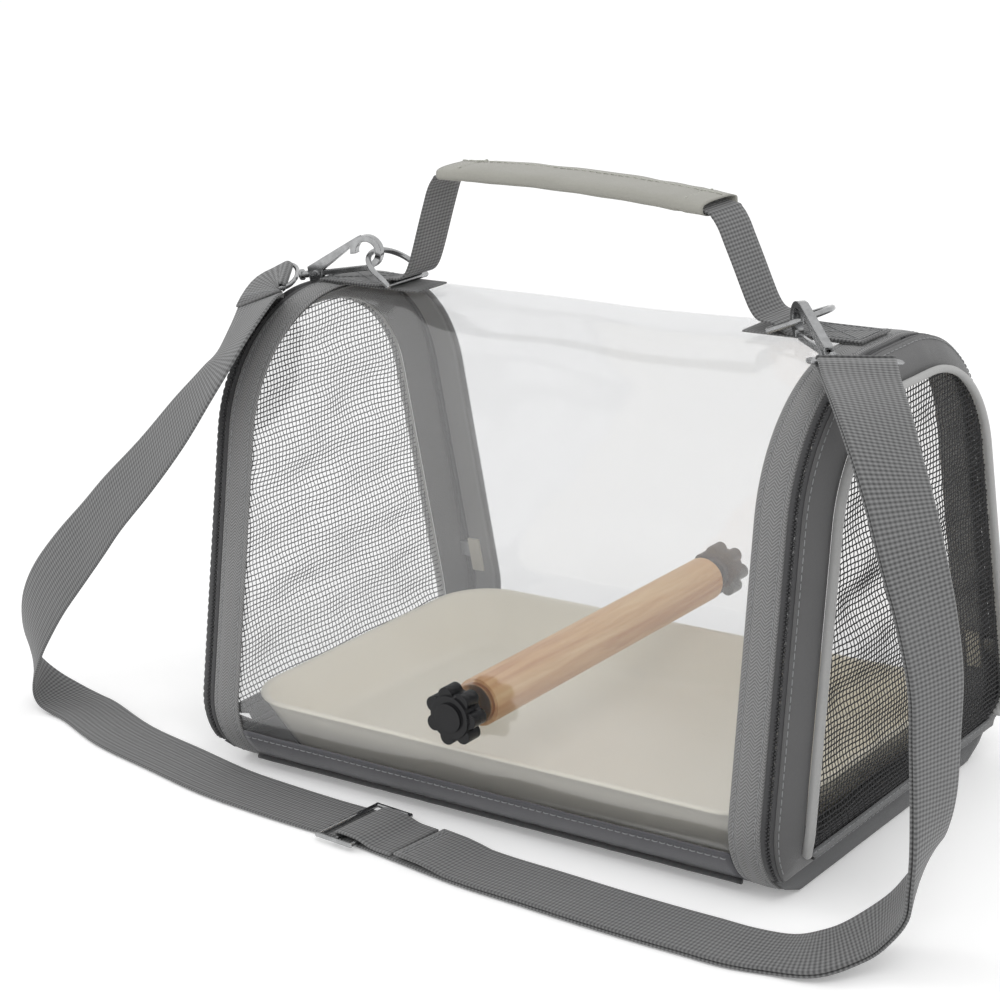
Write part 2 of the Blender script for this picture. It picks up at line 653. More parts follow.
def across_stitches(frames, name, at_s, half, up_sign, lift, rows=2):
    """Rows of stitching across a strap, at a distance along it."""
    bag = Bag()
    for k in range(rows):
        want = at_s + k * 2.2
        f = min(frames, key=lambda q: abs(q[4] - want))
        p, along, side, u, s = f
        c = p + along * (want - s) + u * (up_sign * lift)
        pts = [c + side * (half * (2 * i / 20 - 1)) for i in range(21)]
        stitches(pts, [u * up_sign] * 21, None, 2.4, 0.9, 0.3, 0.12, bag)
    return bag


def side_stitches(bag, frames, s0, s1, half, up_sign, lift):
    seg = [f for f in frames if s0 <= f[4] <= s1]
    for e in (-1, 1):
        stitches([f[0] + f[2] * (e * half) + f[3] * (up_sign * lift) for f in seg],
                 [f[3] * up_sign for f in seg], None, 2.6, 1.0, 0.3, 0.12, bag)


bag = across_stitches(single, "", 24, STRAP_W / 2 - 3, 1, PLY_T / 2, 2)
tail_frames = end_turn(RUN, EYE_BAR["left"], True, 1, 36, 1.75)
for k in range(2):
    f = tail_frames[-2]
    c = f[0] + f[1] * (-2.2 * k) - f[3] * (PLY_T / 2)
    stitches([c + f[2] * ((STRAP_W / 2 - 3) * (2 * i / 20 - 1)) for i in range(21)], [f[3] * -1] * 21, None,
             2.4, 0.9, 0.3, 0.12, bag)
    c = f[0] + f[1] * (-2.2 * k) + f[3] * (PLY_T / 2)
    stitches([c + f[2] * ((STRAP_W / 2 - 3) * (2 * i / 20 - 1)) for i in range(21)], [f[3]] * 21, None,
             2.4, 0.9, 0.3, 0.12, bag)
start = second[0][4]
bag2 = across_stitches(second, "", start + 3, STRAP_W / 2 - 2, 1, PLY_T / 2, 2)
bag.add(bag2.v, bag2.f)
strap_thread = bag.done("strap_thread")

# the loop of webbing round the middle bar of the buckle
fold_rows = []
for x, z in ((36, 2.9), (30, 2.95), (23, 3.2), (17, 4.6), (12, 5.7), (6, 6.0), (0, 5.95), (-2.6, 5.4), (-3.3, 4.0),
             (-2.4, 2.6)):
    fold_rows.append((x, z))
fold_rows = smooth_path([(x, 0, z) for x, z in fold_rows], 3)
fold = []
d = 0.0
for i, (x, _, z) in enumerate(fold_rows):
    a = Vector(fold_rows[max(0, i - 1)])
    b = Vector(fold_rows[min(len(fold_rows) - 1, i + 1)])
    al = (b - a).normalized()
    if i:
        d += (Vector(fold_rows[i]) - Vector(fold_rows[i - 1])).length
    turn = Matrix.Rotation(BUCKLE_TURN, 3, "Z")
    al = turn @ al
    sd = turn @ Vector((0, -1, 0))
    p = turn @ Vector((x, 0, z)) + Vector((BUCKLE_AT[0], BUCKLE_AT[1], 0))
    fold.append((p, al, sd, al.cross(sd), d))
fold_piece = ribbon("strap_buckle_loop", fold, STRAP_W, PLY_T)

for o in (strap, ply, turn_left, turn_right):
    paint(o, M_WEB)
    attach(o, "cabin")
finish_piece(strap_thread, M_THREAD, "cabin")
finish_piece(fold_piece, M_WEB, "strap_buckle", ("strap_fold",))
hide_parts("strap_left", "strap_floor", "strap_right")


# ------------------------------------------------------------------ helpers for the cabin's fabrics
def arch_width(z, inset):
    """Half width of the arch, taken in by inset, at height z."""
    r1, r2 = CORNER_R - inset, CROWN_R - inset
    z1 = CORNER_R + r1 * math.sin(SIDE_A)
    z2 = CROWN_Z + r2 * math.sin(SIDE_A)
    if z < z1:
        return CORNER_Y + math.sqrt(max(0.0, r1 * r1 - (z - CORNER_R) ** 2))
    if z < z2:
        f = (z - z1) / (z2 - z1)
        y1 = CORNER_Y + r1 * math.cos(SIDE_A)
        y2 = CROWN_Y + r2 * math.cos(SIDE_A)
        return y1 + (y2 - y1) * f
    return CROWN_Y + math.sqrt(max(0.0, r2 * r2 - (z - CROWN_Z) ** 2))


def arch_top(y, inset):
    """Height of the arch, taken in by inset, over the point y."""
    lo, hi = CORNER_R, BODY_H - inset
    y = abs(y)
    if y <= CROWN_Y:
        return hi
    for _ in range(40):
        mid = (lo + hi) / 2
        if arch_width(mid, inset) > y:
            lo = mid
        else:
            hi = mid
    return lo


def panel_at(z):
    f = max(0.0, min(1.0, (z - FOLD_Z) / RAMP_H))
    return 181.05 + 10.95 * math.sin(math.pi / 2 * f)


def low_angle(z, inset):
    return math.asin(max(-1, (z - CORNER_R) / (CORNER_R - inset)))


def sweep_profile(name, rows, closed_run, closed_profile=True, flip=False):
    """rows: lists of 3D points; each row is one section of the piece."""
    n, m = len(rows[0]), len(rows)
    verts = [p for r in rows for p in r]
    faces = []
    for j in range(m if closed_run else m - 1):
        for k in range(n if closed_profile else n - 1):
            q = (j * n + k, j * n + (k + 1) % n, ((j + 1) % m) * n + (k + 1) % n, ((j + 1) % m) * n + k)
            faces.append(q[::-1] if flip else q)
    if not closed_run and closed_profile:
        a, b = tuple(range(n)), tuple((m - 1) * n + k for k in range(n))
        faces.append(a if flip else a[::-1])
        faces.append(b[::-1] if flip else b)
    obj = mesh_obj(name, verts, faces)
    s = [0.0]
    for j in range(1, m):
        s.append(s[-1] + (Vector(rows[j][0]) - Vector(rows[j - 1][0])).length)
    t = [0.0]
    for k in range(1, n):
        t.append(t[-1] + (Vector(rows[m // 2][k]) - Vector(rows[m // 2][k - 1])).length)
    uv_mm(obj, lambda i: (s[i // n], t[i % n]))
    return obj


def arch_rows(line, profile, side):
    """profile: (x, inset) points, or a function of the arch point that gives them."""
    rows = []
    for p in line:
        prof = profile(p) if callable(profile) else profile
        rows.append([(side * x, p[0] - p[2] * i, p[1] - p[3] * i) for x, i in prof])
    return rows


def ripple(x, y, z, scale, amount):
    return noise.noise(Vector((x, y, z)) * scale) * amount


FULL = arch_line(3.0, True)
LEFT_RIGHT = (("left", -1), ("right", 1))


# ------------------------------------------------------------------ rims
def rim(word, side):
    def prof(p):
        w = ripple(side * 9, p[0], p[1], 0.045, 0.5)
        puff = 0.30 + w * 0.35
        return [(158.1, 0.65), (158.25, 0.2), (158.9, 0.0), (160.1, -0.12), (161.2, 0.26), (162.3, -0.16),
                (165.0, -puff), (168.0, -puff - 0.12), (171.0, -puff), (172.6, -0.14), (173.4, 0.22),
                (174.2, -0.05), (175.2, 0.1), (175.85, 0.5), (176.1, 1.2), (176.1, 2.4), (175.8, 3.1),
                (175.1, 3.6), (173.4, 3.5), (168.0, 3.8 + w * 0.3), (162.4, 3.7), (161.3, 3.4), (160.6, 3.6),
                (160.1, 3.1), (160.5, 2.5), (165.0, 2.45), (174.6, 2.4), (174.9, 2.2), (174.9, 1.4), (174.6, 1.2),
                (165.0, 1.15), (158.6, 1.15)]
    obj = sweep_profile("rim_binding_" + word, arch_rows(FULL, prof, side), True, flip=side < 0)
    finish_piece(obj, M_BIND, "cabin", ("rim_" + word,))
    bag = Bag()
    for x, inset, sign in ((161.2, 0.2, 1), (173.4, 0.16, 1), (161.3, 3.44, -1)):
        pts = [(side * x, *at_inset(p, inset)) for p in FULL]
        nrm = [(0, p[2] * sign, p[3] * sign) for p in FULL]
        stitches(pts + pts[:1], nrm + nrm[:1], None, 2.9, 1.5, 0.3, 0.12, bag)
    finish_piece(bag.done("rim_thread_" + word), M_THREAD, "cabin")


# ------------------------------------------------------------------ zips
def teeth(name, side, x_in, x_out, phase, body, replaced=()):
    bag = Bag()
    line = arch_line(1.0, False, low_angle(FOLD_Z + 0.6, 1.0))
    pitch = 2.2
    want = phase * pitch + 1.0
    for p in line:
        if p[4] < want:
            continue
        want += pitch
        mid = 1.2
        sx, sy = side * x_in, side * x_out
        c = (p[0] - p[2] * mid, p[1] - p[3] * mid)
        nrm, tan = (p[2], p[3]), (-p[3], p[2])
        v = []
        for x, h, w in ((sx, 0.75, 0.42), (sx + (sy - sx) * 0.6, 0.95, 0.5), (sy - (sy - sx) * 0.1, 1.0, 0.62),
                        (sy, 0.7, 0.5)):
            for a, b in ((-w, -h * 0.6), (-w, h * 0.6), (-w * 0.4, h), (w * 0.4, h), (w, h * 0.6), (w, -h * 0.6),
                         (w * 0.4, -h), (-w * 0.4, -h)):
                v.append((x, c[0] + tan[0] * a + nrm[0] * b, c[1] + tan[1] * a + nrm[1] * b))
        f = []
        for j in range(3):
            for k in range(8):
                f.append((j * 8 + k, j * 8 + (k + 1) % 8, (j + 1) * 8 + (k + 1) % 8, (j + 1) * 8 + k))
        f.append(tuple(range(7, -1, -1)))
        f.append(tuple(range(24, 32)))
        bag.add(v, f)
    finish_piece(bag.done(name), M_COIL, body, replaced)


def zip_side(word, side):
    line = arch_line(3.0, False, low_angle(FOLD_Z + 0.3, 1.0))
    fixed = [(176.25, 0.7), (176.6, 0.6), (178.4, 0.55), (179.0, 0.75), (179.1, 1.3), (179.86, 1.4), (179.86, 1.75), (178.4, 1.8), (176.6, 1.8),
             (176.25, 1.6)]
    obj = sweep_profile("zip_cloth_" + word, arch_rows(line, fixed, side), False, flip=side < 0)
    finish_piece(obj, M_ZIP, "cabin", ("zip_tape_" + word,))
    teeth("zip_teeth_" + word, side, 178.5, 179.9, 0.0, "cabin")
    door = [(180.14, 1.4), (180.9, 1.3), (181.0, 0.75), (181.6, 0.55), (183.1, 0.6), (183.5, 0.8), (183.5, 1.6),
            (183.1, 1.8), (181.6, 1.8), (180.14, 1.75)]
    obj = sweep_profile("door_zip_cloth_" + word, arch_rows(line, door, side), False, flip=side < 0)
    finish_piece(obj, M_ZIP, "door_" + word, ("door_tape_" + word,))
    teeth("door_zip_teeth_" + word, side, 181.5, 180.1, 0.5, "door_" + word)


# ------------------------------------------------------------------ doors
GUSSET_LOW = math.radians(-34)
PIPE_R = 2.0


def panel_edge(p):
    """How far out the door's panel stands where the gusset meets it."""
    return max(185.95, panel_at(max(at_inset(p, 0.6)[1], at_inset(p, 16.4)[1])))


def foot_rows(row, end, steps=4):
    """The gusset's corner, from its lowest radial row down to the door's foot beside the hem."""
    half = len(row) // 2
    out = []
    for k in range(1, steps + 1):
        new = []
        for i, (x, y, z) in enumerate(row):
            f = i / (half - 1) if i < half else (2 * half - 1 - i) / (half - 1)
            goal = (math.copysign(184.0 - (1.1 * f if i >= half else 0.0), x), end * arch_width(14.9, 0.6 + 19.4 * f),
                    14.9)
            q = k / steps
            new.append(tuple(a + (b - a) * q for a, b in zip((x, y, z), goal)))
        out.append(new)
    return out


def gusset(word, side):
    line = arch_line(3.0, False, GUSSET_LOW)

    def prof(p):
        top = panel_edge(p)
        steps = 7
        outer, inner = [], []
        for i in range(steps + 1):
            f = i / steps
            x = 183.75 + (top - 183.75) * f
            inset = 0.6 + 15.2 * f
            wave = ripple(side * 3 + f * 2, p[0], p[1], 0.06, 0.9) + ripple(f * 3, p[0], p[1], 0.16, 0.35)
            bulge = math.sin(math.pi * f) * (1.1 + wave)
            outer.append((x + bulge * 0.7, inset - bulge * 0.6))
            inner.append((x + bulge * 0.7 - (0.0 if i == 0 else 1.1 * f), inset - bulge * 0.6 + 1.15))
        return outer + inner[::-1]
    rows = arch_rows(line, prof, side)
    rows = foot_rows(rows[0], 1)[::-1] + rows + foot_rows(rows[-1], -1)
    obj = sweep_profile("door_gusset_" + word, rows, False, flip=side < 0)
    finish_piece(obj, M_GUSSET, "door_" + word, ("gusset_" + word,))
    bag = Bag()
    for f, inset in ((0.14, 2.4),):
        pts, nrm = [], []
        for p in line:
            top = panel_edge(p)
            bulge = math.sin(math.pi * f) * 1.1
            x = 183.75 + (top - 183.75) * f + bulge * 0.7
            i = 0.6 + 15.2 * f - bulge * 0.6
            pts.append((side * x, p[0] - p[2] * (i - 0.1), p[1] - p[3] * (i - 0.1)))
            nrm.append((side * 0.6, p[2] * 0.8, p[3] * 0.8))
        stitches(pts, nrm, None, 2.8, 1.4, 0.28, 0.2, bag)
    finish_piece(bag.done("door_thread_" + word), M_THREAD, "door_" + word)
    # piping round the mesh: a covered cord with its sewn flange tucked towards the gusset
    def pipe(p):
        cx = panel_edge(p) + 3.4
        out = []
        for k in range(14):
            a = 2 * math.pi * k / 14
            out.append((cx + PIPE_R * math.cos(a), 16.4 + PIPE_R * math.sin(a)))
        out[6] = (cx - 3.3, 16.75)
        out[7] = (cx - 3.5, 16.3)
        out[8] = (cx - 3.3, 15.9)
        return out
    obj = sweep_profile("door_welt_" + word, arch_rows(line, pipe, side), False, flip=side > 0)
    finish_piece(obj, M_PIPING, "door_" + word, ("door_piping_" + word,))


YARN_PITCH, YARN_R = 2.9, 0.38


def slack(y, z, side):
    """How far the mesh hangs out of its plane; nothing at its edges."""
    edge = min(1.0, max(0.0, (arch_width(z, 17.6) - abs(y)) / 30.0), max(0.0, (z - 24) / 30.0))
    edge = min(edge, max(0.0, (arch_top(y, 17.6) - z) / 30.0))
    wave = ripple(y * 0.5 + side * 40, z * 1.6, 0, 0.028, 5.0) + ripple(y + z, z, side * 7, 0.05, 1.6)
    return ease(edge) * (wave + 0.8)


def mesh_panel(word, side):
    inset, foot = 17.6, 22.0
    bag = Bag()
    top = BODY_H - inset

    def yarn(points, r):
        v, f = tube(None, points, r, 5)
        bag.add(v, f)

    def place(y, z, lift):
        dy = ripple(y, z, 3, 0.03, 1.6) * 0.6
        dz = ripple(y, z, 8, 0.02, 3.0) * 0.6
        edge = ease(min(1.0, max(0.0, (arch_width(z, inset) - abs(y)) / 20.0)))
        x = panel_at(z) + 0.75 + slack(y, z, side) + lift
        return (side * x, y + dy * edge, z + dz * edge)
    ny = int(101 / YARN_PITCH)
    for i in range(-ny, ny + 1):
        y = i * YARN_PITCH
        hi = arch_top(y, inset) if abs(y) > CROWN_Y else top
        k = 0
        pts = []
        z = foot
        if abs(y) > arch_width(foot, inset):
            while z < CORNER_R + 20 and arch_width(z, inset) < abs(y):
                z += YARN_PITCH / 2
        j0 = int(math.ceil((z - foot) / YARN_PITCH))
        zz = foot + j0 * YARN_PITCH
        while zz < hi:
            pts.append(place(y, zz, 0.22 if (j0 + i) % 2 else -0.22))
            j0 += 1
            zz += YARN_PITCH
        pts.append(place(y, hi, 0.0))
        if len(pts) > 3:
            yarn(pts, YARN_R * 0.72)
    z = foot
    j = 0
    while z < top:
        w = arch_width(z, inset)
        pts = [place(-w, z, 0.0)]
        n0 = int(w / YARN_PITCH)
        for i in range(-n0, n0 + 1):
            y = i * YARN_PITCH
            if abs(y) < w - 0.4:
                pts.append(place(y, z, -0.22 if (j + i) % 2 else 0.22))
        pts.append(place(w, z, 0.0))
        if len(pts) > 3:
            yarn(pts, YARN_R)
        z += YARN_PITCH
        j += 1
    obj = bag.done("door_net_" + word)
    finish_piece(obj, M_MESH, "door_" + word, ("mesh_" + word,))
    return obj


def across_bar(name, prof, inset, side, m, body, replaced, cells=40, sag=0.0):
    """A bar of cloth that spans the arch at a low height; prof is (x, z) points round it."""
    rows = []
    for i in range(cells + 1):
        t = -1 + 2 * i / cells
        row = []
        for x, z in prof:
            y = t * arch_width(z, inset)
            w = ripple(x * 0.2, y, z, 0.05, sag)
            row.append((side * (x + w), y, z))
        rows.append(row)
    obj = sweep_profile(name, rows, False, flip=side > 0)
    return finish_piece(obj, m, body, replaced) if body else paint(obj, m)


def hem(word, side):
    def x_at(z, add):
        return panel_at(z) + add
    z0, z1 = 14.7, 25.5
    out, inn = [], []
    for i in range(7):
        z = z0 + (z1 - z0) * i / 6
        puff = 0.25 * math.sin(math.pi * i / 6)
        out.append((x_at(z, 2.55) + puff, z))
        inn.append((x_at(z, 1.5), z))
    prof = out + [(x_at(z1, 2.0), z1 + 0.3)] + inn[::-1]
    obj = across_bar("door_foot_hem_" + word, prof, 19.3, side, M_CLOTH, "door_" + word,
                     ("door_hem_" + word,), 44, 0.25)
    bag = Bag()
    for z in (24.0, 16.4):
        w = arch_width(z, 20.0)
        pts = [(side * (x_at(z, 2.62) + 0.1), w * (-1 + i / 30), z) for i in range(61)]
        stitches(pts, [(side, 0, 0)] * 61, None, 2.8, 1.5, 0.28, 0.2, bag)
    finish_piece(bag.done("door_hem_thread_" + word), M_THREAD, "door_" + word)
    return obj


def sill(word, side):
    prof = [(176.5, 0.15), (178.2, 0.0), (179.4, 0.2), (179.7, 0.8), (179.55, 6.5), (179.7, 12.5), (179.3, 13.3),
            (178.0, 13.4), (176.8, 13.3), (176.4, 12.6), (176.5, 6.5), (176.4, 0.7)]
    across_bar("end_sill_cloth_" + word, prof, 0.1, side, M_CLOTH, "cabin", ("sill_" + word,), 40, 0.1)


def fold_strip(word, side):
    """The strip of cloth that the door turns on, from the sill's top to the foot of the hem."""
    prof = [(179.2, 13.2), (181.2, 13.7), (183.0, 14.6), (183.0, 15.2), (181.1, 14.4), (179.2, 13.8)]
    obj = across_bar("door_fold_cloth_" + word, prof, 1.0, side, M_CLOTH, None, (), 40, 0.0)
    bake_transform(obj)


# ------------------------------------------------------------------ base, window
def base_cover():
    half = 157.6
    line = FULL
    lip = 26.0
    keep = [p for p in line if p[1] < lip]
    # start at the top of the +y lip, run under the base, end at the top of the -y lip
    front = sorted([p for p in keep if p[0] < 0 and p[1] > 0.01], key=lambda p: -p[1])
    back_ = sorted([p for p in keep if p[0] > 0 and p[1] > 0.01], key=lambda p: p[1])
    flat = sorted([p for p in keep if p[1] <= 0.01], key=lambda p: p[0])
    edge_p = low_angle(lip, 0)
    tip = [(CORNER_Y + CORNER_R * math.cos(edge_p), CORNER_R + CORNER_R * math.sin(edge_p), math.cos(edge_p),
            math.sin(edge_p))]
    tip_f = [(-tip[0][0], tip[0][1], -tip[0][2], tip[0][3])]
    run_ = tip_f + [q[:4] for q in front] + [q[:4] for q in flat] + [q[:4] for q in back_] + tip
    outer = [(p, 0.0) for p in run_]
    inner = [(p, 1.15) for p in run_[::-1]]
    ring = outer + inner
    cols = 80
    rows = []
    for i in range(cols + 1):
        x = -half + 2 * half * i / cols
        row = []
        for p, inset in ring:
            low = ease((p[1] - 1) / 8)
            w = (ripple(x, p[0], p[1], 0.03, 0.9) + ripple(x, p[0], p[1], 0.09, 0.35)) * low
            row.append((x, p[0] - p[2] * (inset - w * 0.5), max(0.0, p[1] - p[3] * (inset - w * 0.5))))
        rows.append(row)
    obj = sweep_profile("base_cloth", rows, False, flip=True)
    finish_piece(obj, M_BASE, "cabin", ("base_cover",))
    bag = Bag()
    for sgn in (-1, 1):
        a = low_angle(23.0, 0)
        c, d = math.cos(a), math.sin(a)
        y, z = sgn * (CORNER_Y + CORNER_R * c), CORNER_R + CORNER_R * d
        pts = [(-half + 2 * half * i / 60, y, z) for i in range(61)]
        stitches(pts, [(0, sgn * c, d)] * 61, None, 2.9, 1.5, 0.28, 0.5, bag)
    finish_piece(bag.done("base_thread"), M_THREAD, "cabin")
    a = math.radians(52)
    for word, sgn in (("front", -1), ("back", 1)):
        y = sgn * (CORNER_Y + 40.6 * math.cos(a))
        z = CORNER_R - 40.6 * math.sin(a)
        pts = [(-157.4 + 314.8 * i / 90, y + ripple(i * 9, 0, 0, 0.05, 0.15), z + ripple(i * 9, 5, 0, 0.05, 0.12))
               for i in range(91)]
        v, f = tube(None, pts, 1.45, 12)
        bag2 = Bag()
        bag2.add(v, f)
        obj = bag2.done("base_welt_" + word)
        uv_mm(obj, lambda i: (i // 12 * 3.5, (i % 12) * 0.76))
        finish_piece(obj, M_BASE_DARK, "cabin", ("base_piping_" + word,))


def window():
    half = 174.5
    xs = []
    x = -half
    while x < half:
        xs.append(x)
        x += 2.0 if abs(x) < 11 else 7.0
    xs.append(half)
    foot = low_angle(12.2, 1.8)
    line = [p for p in arch_line(3.0, False, foot)]
    rows = []
    for p in line:
        outer = []
        for x in xs:
            edge = ease((half - abs(x)) / 26) * ease((p[1] - 24) / 40)
            hole = ease((math.hypot(x, p[1] - 71) - 22) / 20)
            w = (ripple(x, p[0], p[1], 0.011, 2.6) + ripple(x * 0.6, p[0], p[1], 0.03, 0.7)) * edge * hole
            crown = ease((p[1] - 250) / 6) * edge * 1.2 * math.cos(x / half * math.pi / 2)
            i = 1.55 + w - 0.0 + crown
            outer.append((x, p[0] - p[2] * i, p[1] - p[3] * i))
        rows.append(outer)
    n = len(xs)
    m = len(rows)
    verts = [q for r in rows for q in r]
    nv = len(verts)
    for r, p in zip(rows, line):
        verts += [(x, y - p[2] * 0.5, z - p[3] * 0.5) for x, y, z in r]
    keep = set()
    for j in range(m - 1):
        for k in range(n - 1):
            cx = (xs[k] + xs[k + 1]) / 2
            cz = (line[j][1] + line[j + 1][1]) / 2
            if math.hypot(cx, cz - 71) > 4.2:
                keep.add((j, k))
    faces = []
    for j, k in keep:
        q = (j * n + k, (j + 1) * n + k, (j + 1) * n + k + 1, j * n + k + 1)
        faces.append(q)
        faces.append(tuple(i + nv for i in q[::-1]))
        for dj, dk, a, b in ((-1, 0, q[3], q[0]), (1, 0, q[1], q[2]), (0, -1, q[0], q[1]), (0, 1, q[2], q[3])):
            if (j + dj, k + dk) not in keep:
                faces.append((b, a, a + nv, b + nv))
    used = sorted({i for f in faces for i in f})
    where = {v: i for i, v in enumerate(used)}
    obj = mesh_obj("window_film", [verts[i] for i in used], [tuple(where[i] for i in f) for f in faces])
    finish_piece(obj, M_WINDOW, "cabin", ("clear_window",))


# ------------------------------------------------------------------ tray
def round_rect(l, d, r, z, n=9):
    pts = []
    for cx, cy, a0 in ((1, 1, 0), (-1, 1, 90), (-1, -1, 180), (1, -1, 270)):
        for i in range(n + 1):
            a = math.radians(a0 + 90 * i / n)
            pts.append((cx * (l / 2 - r) + r * math.cos(a), cy * (d / 2 - r) + r * math.sin(a), z))
        nx, ny = {(1, 1): (-1, 1), (-1, 1): (-1, -1), (-1, -1): (1, -1), (1, -1): (1, 1)}[(cx, cy)]
        x0, y0 = pts[-1][:2]
        a = math.radians(a0 + 90)
        x1, y1 = nx * (l / 2 - r) + r * math.cos(a), ny * (d / 2 - r) + r * math.sin(a)
        for i in range(1, 10):
            pts.append((x0 + (x1 - x0) * i / 10, y0 + (y1 - y0) * i / 10, z))
    return pts


def tray():
    levels = [(23.0, 7.25), (21.0, 7.2), (18.4, 8.6), (15.6, 12.2), (13.4, 16.5), (8.6, 25.5), (4.2, 33.6),
              (1.8, 38.0), (0.4, 39.2), (0.0, 40.0), (0.25, 40.7), (1.0, 41.1), (2.2, 41.2), (3.3, 40.9),
              (4.2, 40.2), (5.2, 38.2), (9.6, 30.0), (14.0, 21.8), (16.6, 17.0), (18.8, 13.6), (22.0, 11.0),
              (26.0, 9.9), (34.0, 9.7), (60.0, 9.7)]
    rows = []
    for off, z in levels:
        r = max(6.0, 34.0 - off * 0.75)
        rows.append([(x, y, z + ripple(x, y, z, 0.01, 0.12)) for x, y, z in
                     round_rect(344 - 2 * off, 222 - 2 * off, r, z)])
    n = len(rows[0])
    verts = [p for r in rows for p in r]
    faces = []
    for j in range(len(rows) - 1):
        for k in range(n):
            faces.append((j * n + k, j * n + (k + 1) % n, (j + 1) * n + (k + 1) % n, (j + 1) * n + k))
    faces.append(tuple(range(n - 1, -1, -1)))
    faces.append(tuple((len(rows) - 1) * n + k for k in range(n)))
    obj = mesh_obj("tray_shell", verts, faces)
    for poly in obj.data.polygons:
        if len(poly.vertices) > 4:
            poly.use_smooth = False
    finish_piece(obj, M_TRAY, "tray", ("tray",))


# ------------------------------------------------------------------ handle
GRIP_HALF, GRIP_LEAN = 84.0, 3.5


def grip_mid(x):
    return 325.6 - 3.0 * (x / GRIP_HALF) ** 2 - GRIP_LEAN * x / GRIP_HALF


def handle():
    leg = [(84.0, 321.6), (88.0, 319.4), (91.8, 313.8), (95.2, 305.6), (98.4, 297.6), (101.5, 289.6), (105.2, 280.0),
           (108.8, 271.8), (112.4, 267.0), (116.6, 265.3), (121.4, 264.95), (125.2, 263.3), (128.4, 261.0),
           (132.5, 260.35), (145.0, 260.2), (158.0, 260.2), (172.5, 260.2)]
    top = [(x, grip_mid(x)) for x in (-60, -30, 0, 30, 60)]
    path = [(-x, z + GRIP_LEAN * ease((z - 270) / 50)) for x, z in leg[::-1]] + top
    path += [(x, z - GRIP_LEAN * ease((z - 270) / 50)) for x, z in leg]
    pts = smooth_path([(x, 0.0, z) for x, z in path], 5)
    frames, s = [], 0.0
    for i, p in enumerate(pts):
        a, b = Vector(pts[max(0, i - 1)]), Vector(pts[min(len(pts) - 1, i + 1)])
        al = (b - a).normalized()
        if i:
            s += (Vector(p) - Vector(pts[i - 1])).length
        side = Vector((0, 1, 0))
        frames.append((Vector(p), al, side, side.cross(al) * -1, s))
    web = ribbon("handle_strap", frames, 30.0, 1.35)
    paint(web, M_WEB)
    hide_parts("handle_webbing")
    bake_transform(web)
    bag = Bag()
    for sgn in (-1, 1):
        rows = [(sgn * (104.0 + 67 * i / 24), 0.0, 258.9) for i in range(25)]
        fr = []
        for i, p in enumerate(rows):
            al = Vector((sgn, 0, 0))
            sd = Vector((0, sgn, 0))
            fr.append((Vector(p), al, sd, al.cross(sd), 3.0 * i))
        word = "left" if sgn < 0 else "right"
        tail = ribbon("handle_patch_" + word, fr, 28.2, 1.15)
        finish_piece(tail, M_WEB, "cabin", ("handle_tail_" + word,))
        z = 260.95
        box = [(134, -12), (170, -12), (170, 12), (134, 12), (134, -12), (170, 12), (170, -12), (134, 12)]
        for a, b in zip(box, box[1:]):
            line = [(sgn * (a[0] + (b[0] - a[0]) * i / 14), a[1] + (b[1] - a[1]) * i / 14, z) for i in range(15)]
            stitches(line, [(0, 0, 1)] * 15, None, 2.6, 1.2, 0.3, 0.12, bag)
    finish_piece(bag.done("handle_thread"), M_THREAD, "cabin")


